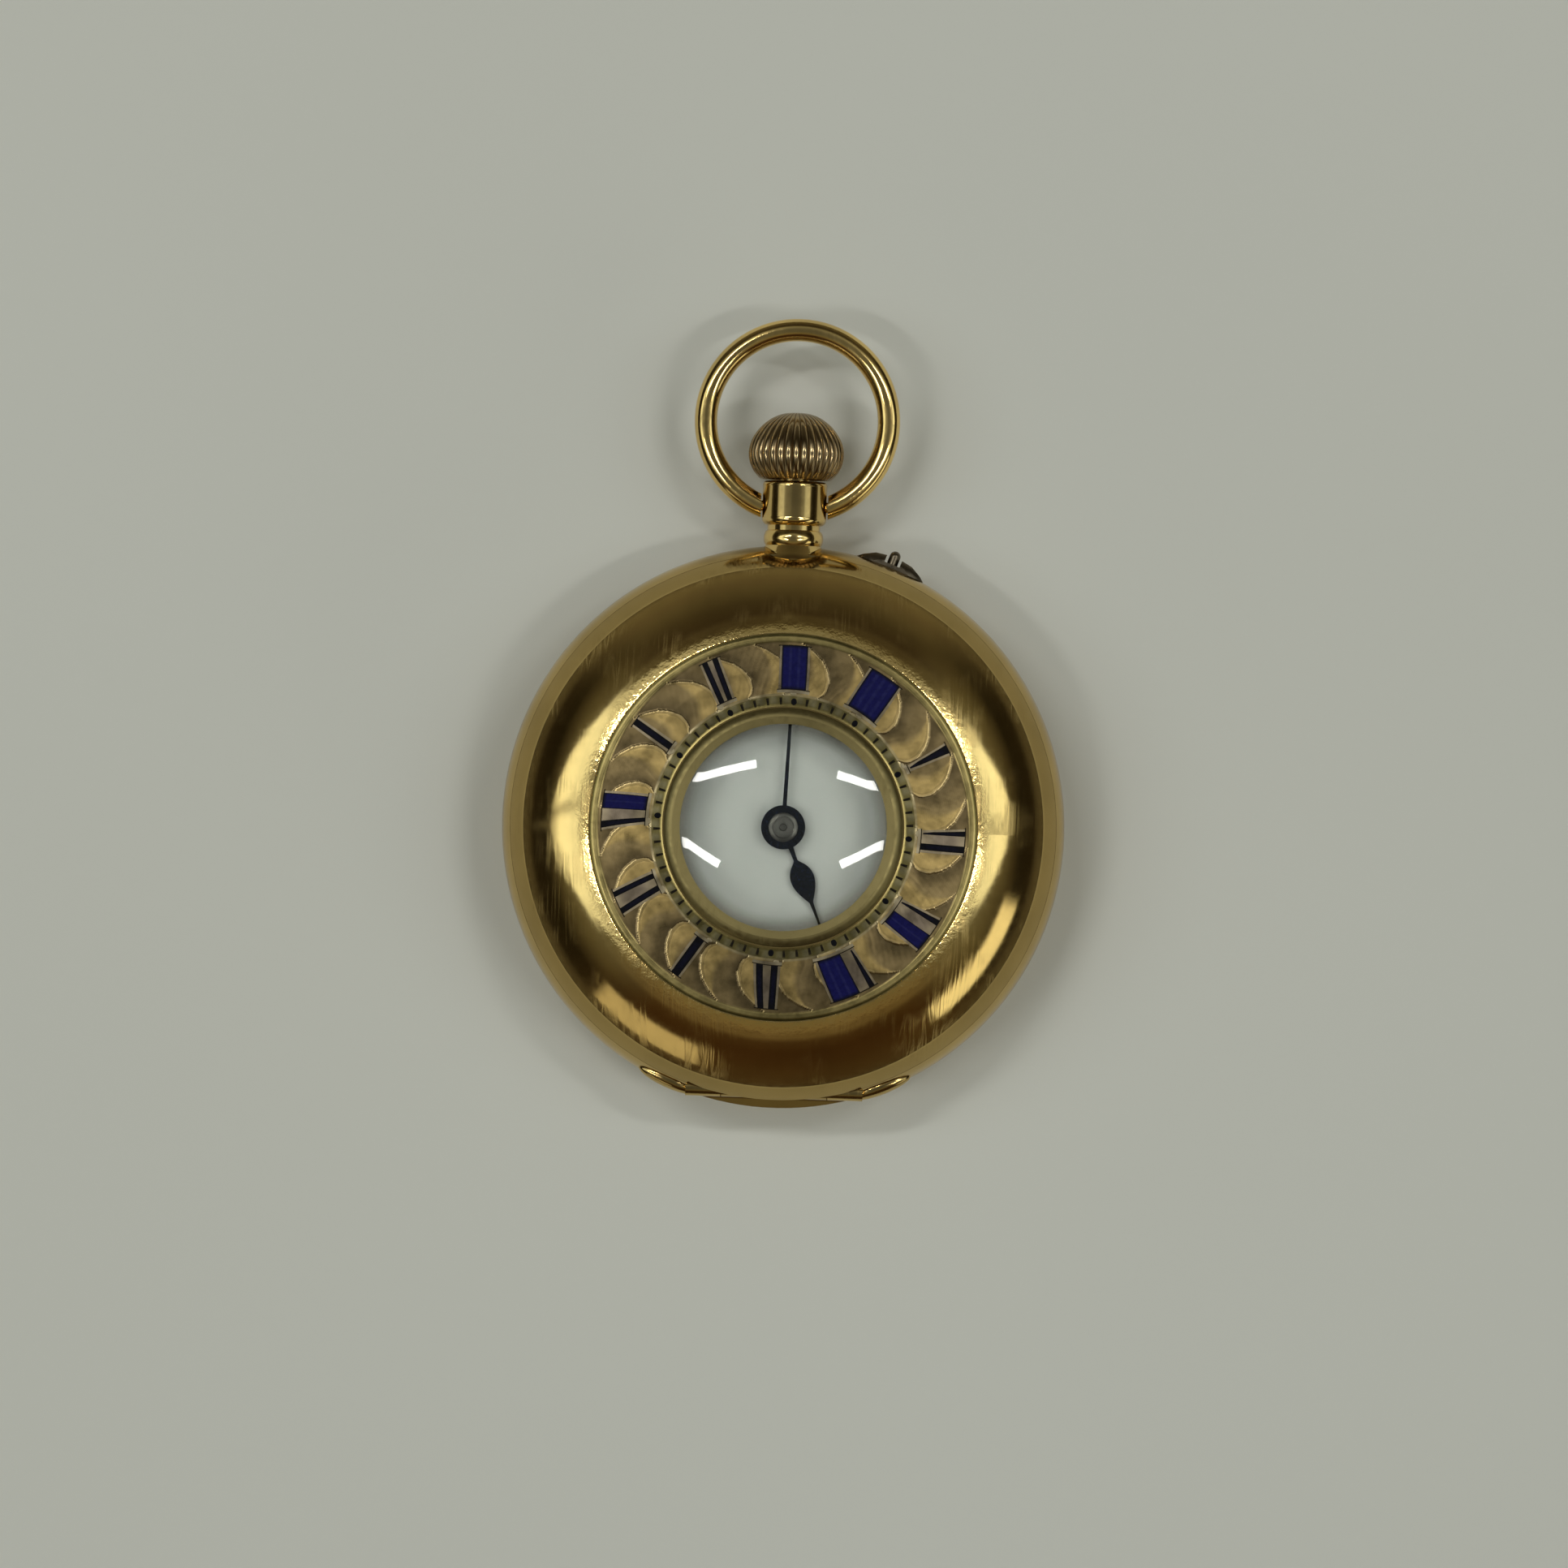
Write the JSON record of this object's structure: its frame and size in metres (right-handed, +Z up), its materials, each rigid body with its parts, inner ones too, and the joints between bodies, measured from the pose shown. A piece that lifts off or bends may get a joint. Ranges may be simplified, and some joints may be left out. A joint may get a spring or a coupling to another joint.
{
  "type": "half hunter pocket watch",
  "caption": "Small keyless pocket watch in a half hunter case: hinged front cover with a round glazed window and an enamelled chapter ring, fluted crown, round bow, hinged back and dust cover.",
  "frame": {"origin": "centre of the flat outside of the closed back cover, on which the watch rests", "axes": "+X to the right when the dial is read, +Y to the pendant and bow, +Z up through the dial"},
  "size_m": [0.035, 0.0491, 0.0112],
  "materials": {
    "yellow_gold": "polished with fine wear",
    "engine_turned_gold": "engine turned, rose toned",
    "clear_glass": "polished",
    "white_enamel": "gloss",
    "blued_steel": "heat blued, polished",
    "blued_screw_steel": "heat blued",
    "polished_steel": "polished",
    "gilt_brass": "frosted gilt",
    "wheel_brass": "polished",
    "ruby_stone": "polished"
  },
  "bodies": {
    "case": {"case_middle": "yellow_gold", "pendant": "yellow_gold", "set_pin_guard": "yellow_gold", "inner_bezel": "yellow_gold", "main_glass": "clear_glass", "dial": "white_enamel", "main_plate": "gilt_brass", "barrel_bridge": "gilt_brass", "train_bridge": "gilt_brass", "balance_cock": "gilt_brass", "pallet_cock": "gilt_brass", "jewels": "ruby_stone", "bridge_screws": "blued_screw_steel", "case_screws": "blued_screw_steel", "click_spring": "blued_screw_steel", "yoke_spring": "polished_steel", "lift_spring": "polished_steel", "hairspring": "blued_screw_steel", "front_hinge_pin": "yellow_gold", "back_hinge_pin": "yellow_gold", "dust_cover_hinge_pin": "yellow_gold"},
    "front_lid": {"front_cover": "yellow_gold", "chapter_ring": "engine_turned_gold", "window_bezel": "yellow_gold", "window_glass": "clear_glass"},
    "back_lid": {"back_cover": "yellow_gold"},
    "dust_lid": {"dust_cover": "yellow_gold"},
    "bow_ring": {"bow": "yellow_gold"},
    "press_sleeve": {"push_sleeve": "yellow_gold"},
    "crown_and_stem": {"crown": "yellow_gold", "winding_stem": "polished_steel"},
    "winding_gear": {"winding_pinion": "polished_steel"},
    "clutch": {"sliding_pinion": "polished_steel"},
    "crown_gear": {"crown_wheel": "polished_steel", "crown_wheel_screw": "blued_screw_steel"},
    "ratchet": {"ratchet_wheel": "polished_steel", "barrel_arbor": "polished_steel", "ratchet_screw": "blued_screw_steel"},
    "click_lever": {"click": "polished_steel"},
    "hand_pin": {"set_pin": "yellow_gold"},
    "yoke_lever": {"yoke": "polished_steel"},
    "lock_catch": {"lock_spring": "polished_steel"},
    "minute": {"minute_hand": "blued_steel", "cannon_pinion": "polished_steel"},
    "hour": {"hour_hand": "blued_steel", "hour_wheel": "wheel_brass"},
    "minute_work": {"minute_wheel": "wheel_brass"},
    "setting_work": {"setting_wheel": "wheel_brass"},
    "barrel": {"barrel_drum": "gilt_brass", "barrel_lid": "gilt_brass", "mainspring": "polished_steel"},
    "center": {"center_wheel": "wheel_brass"},
    "third": {"third_wheel": "wheel_brass"},
    "fourth": {"fourth_wheel": "wheel_brass"},
    "escape": {"escape_wheel": "polished_steel"},
    "pallets": {"pallet_fork": "polished_steel"},
    "balance": {"balance_wheel": "wheel_brass", "balance_staff": "polished_steel"},
    "regulator": {"regulator_index": "polished_steel"}
  },
  "joints": [
    {"name": "front_lid_hinge", "type": "hinge", "parent": "case", "child": "front_lid", "pos_m": [0, -0.01635, 0.00605], "axis": [1, 0, 0], "range_deg": [0, 90]},
    {"name": "back_lid_hinge", "type": "hinge", "parent": "case", "child": "back_lid", "pos_m": [0, -0.01635, 0.00345], "axis": [-1, 0, 0], "range_deg": [0, 95]},
    {"name": "dust_lid_hinge", "type": "hinge", "parent": "case", "child": "dust_lid", "pos_m": [0, -0.015, 0.00295], "axis": [-1, 0, 0], "range_deg": [0, 80]},
    {"name": "bow_swing", "type": "hinge", "parent": "case", "child": "bow_ring", "pos_m": [0, 0.01994, 0.00465], "axis": [1, 0, 0], "range_deg": [-90, 90]},
    {"name": "crown_press", "type": "slide", "parent": "case", "child": "press_sleeve", "axis": [0, -1, 0], "range_m": [0, 0.0007], "stiffness_N_per_m": 600},
    {"name": "crown_turn", "type": "hinge", "parent": "press_sleeve", "child": "crown_and_stem", "pos_m": [0, 0.02, 0.00465], "axis": [0, 1, 0], "continuous": true},
    {"name": "winding_pinion_turn", "type": "hinge", "parent": "case", "child": "winding_gear", "pos_m": [0, 0.0108, 0.00465], "axis": [0, 1, 0], "continuous": true},
    {"name": "clutch_slide", "type": "slide", "parent": "winding_gear", "child": "clutch", "axis": [0, -1, 0], "range_m": [0, 0.00062]},
    {"name": "crown_wheel_turn", "type": "hinge", "parent": "case", "child": "crown_gear", "pos_m": [0, 0.00854, 0.0022], "axis": [0, 0, 1], "continuous": true},
    {"name": "ratchet_turn", "type": "hinge", "parent": "case", "child": "ratchet", "pos_m": [-0.00585, 0.00337, 0.0022], "axis": [0, 0, 1], "continuous": true},
    {"name": "click_swing", "type": "hinge", "parent": "case", "child": "click_lever", "pos_m": [-0.0086, -0.003, 0.0022], "axis": [0, 0, 1], "range_deg": [-4, 0], "stiffness_Nm_per_rad": 0.00002},
    {"name": "hand_pin_press", "type": "slide", "parent": "case", "child": "hand_pin", "axis": [-0.3502, -0.9367, 0], "range_m": [0, 0.00042], "stiffness_N_per_m": 300},
    {"name": "yoke_swing", "type": "hinge", "parent": "case", "child": "yoke_lever", "pos_m": [0.009, 0.008, 0.00465], "axis": [0, 0, 1], "range_deg": [0, 4.4], "deforming": ["yoke_spring"]},
    {"name": "lock_swing", "type": "hinge", "parent": "case", "child": "lock_catch", "pos_m": [-0.01072, 0.01035, 0.0042], "axis": [0, 0, -1], "range_deg": [0, 1.35]},
    {"name": "minute_turn", "type": "hinge", "parent": "case", "child": "minute", "pos_m": [0, 0, 0.0076], "axis": [0, 0, 1], "continuous": true},
    {"name": "hour_turn", "type": "hinge", "parent": "case", "child": "hour", "pos_m": [0, 0, 0.0072], "axis": [0, 0, 1], "continuous": true},
    {"name": "minute_work_turn", "type": "hinge", "parent": "case", "child": "minute_work", "pos_m": [0, 0.0026, 0.0057], "axis": [0, 0, 1], "continuous": true},
    {"name": "setting_work_turn", "type": "hinge", "parent": "case", "child": "setting_work", "pos_m": [0, 0.00611, 0.0057], "axis": [0, 0, 1], "continuous": true},
    {"name": "fourth_turn", "type": "hinge", "parent": "case", "child": "fourth", "pos_m": [0.00678, -0.00181, 0.004], "axis": [0, 0, 1], "continuous": true},
    {"name": "third_turn", "type": "hinge", "parent": "case", "child": "third", "pos_m": [0.00474, 0.00172, 0.0047], "axis": [0, 0, 1], "continuous": true},
    {"name": "center_turn", "type": "hinge", "parent": "case", "child": "center", "pos_m": [0, 0, 0.0035], "axis": [0, 0, 1], "continuous": true},
    {"name": "barrel_turn", "type": "hinge", "parent": "case", "child": "barrel", "pos_m": [-0.00585, 0.00337, 0.0045], "axis": [0, 0, 1], "continuous": true},
    {"name": "escape_turn", "type": "hinge", "parent": "case", "child": "escape", "pos_m": [0.0051, -0.00471, 0.0047], "axis": [0, 0, 1], "continuous": true},
    {"name": "pallet_swing", "type": "hinge", "parent": "case", "child": "pallets", "pos_m": [0.00275, -0.00556, 0.00476], "axis": [0, 0, 1], "range_deg": [-5.5, 5.5]},
    {"name": "balance_swing", "type": "hinge", "parent": "case", "child": "balance", "pos_m": [0.00003, -0.00656, 0.004], "axis": [0, 0, 1], "range_deg": [-135, 135], "stiffness_Nm_per_rad": 0.0000003, "deforming": ["hairspring"]},
    {"name": "regulator_swing", "type": "hinge", "parent": "case", "child": "regulator", "pos_m": [0.00003, -0.00656, 0.0022], "axis": [0, 0, 1], "range_deg": [-20, 20]}
  ],
  "couplings": [
    {"joint": "dust_lid_hinge", "follows": "back_lid_hinge", "ratio": 0.84},
    {"joint": "winding_pinion_turn", "follows": "crown_turn", "ratio": 1},
    {"joint": "crown_wheel_turn", "follows": "crown_turn", "ratio": 0.57143},
    {"joint": "ratchet_turn", "follows": "crown_turn", "ratio": -0.32},
    {"joint": "clutch_slide", "follows": "hand_pin_press", "ratio": 1.438},
    {"joint": "yoke_swing", "follows": "hand_pin_press", "rad_per_m": 177.6},
    {"joint": "lock_swing", "follows": "crown_press", "rad_per_m": 32},
    {"joint": "hour_turn", "follows": "minute_turn", "ratio": 0.083333},
    {"joint": "minute_work_turn", "follows": "minute_turn", "ratio": -0.33333},
    {"joint": "setting_work_turn", "follows": "minute_turn", "ratio": 0.41667},
    {"joint": "third_turn", "follows": "fourth_turn", "ratio": -0.13333},
    {"joint": "center_turn", "follows": "fourth_turn", "ratio": 0.016667},
    {"joint": "barrel_turn", "follows": "fourth_turn", "ratio": -0.0020833},
    {"joint": "escape_turn", "follows": "fourth_turn", "ratio": -8.5714}
  ]
}
